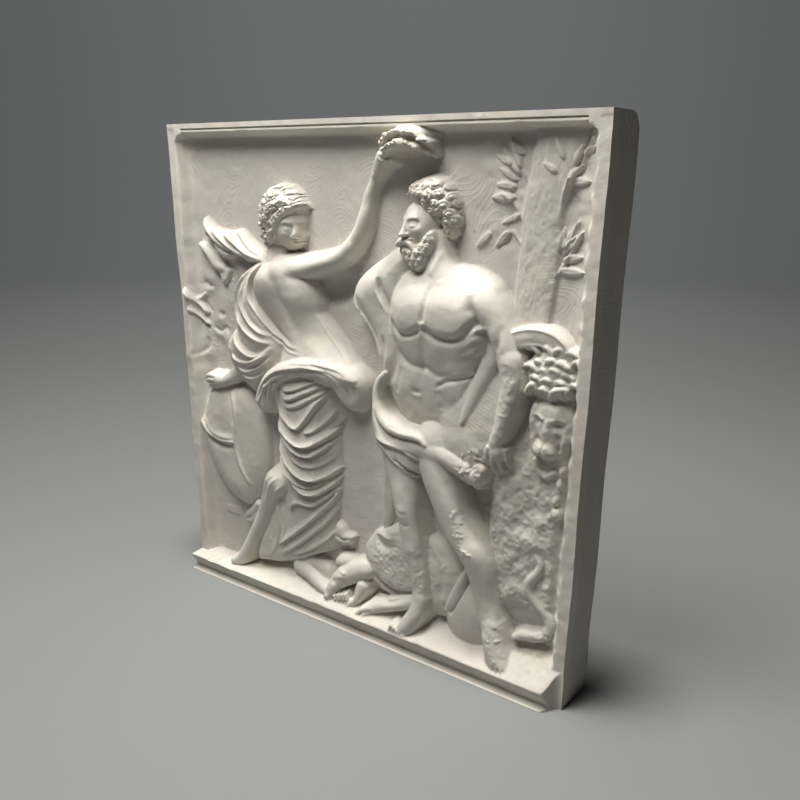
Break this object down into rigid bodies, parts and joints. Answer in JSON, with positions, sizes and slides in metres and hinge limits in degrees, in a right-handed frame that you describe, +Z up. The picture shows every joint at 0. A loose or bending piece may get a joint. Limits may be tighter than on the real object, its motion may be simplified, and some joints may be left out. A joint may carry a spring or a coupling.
{
  "type": "plaster relief panel",
  "caption": "Upright cast plaster relief panel: a draped woman crowning a bearded man beside a tree, framed by a rim, a moulding and a ledge.",
  "frame": {"origin": "middle of the panel's width and depth, at the height of its flat underside", "axes": "+Z up along the panel's height, +Y from the carved front to the flat back, +X to the viewer's right"},
  "size_m": [0.2001, 0.0271, 0.205],
  "materials": {
    "plaster": "matte"
  },
  "bodies": {
    "root": {"relief_panel": "plaster"}
  },
  "joints": []
}
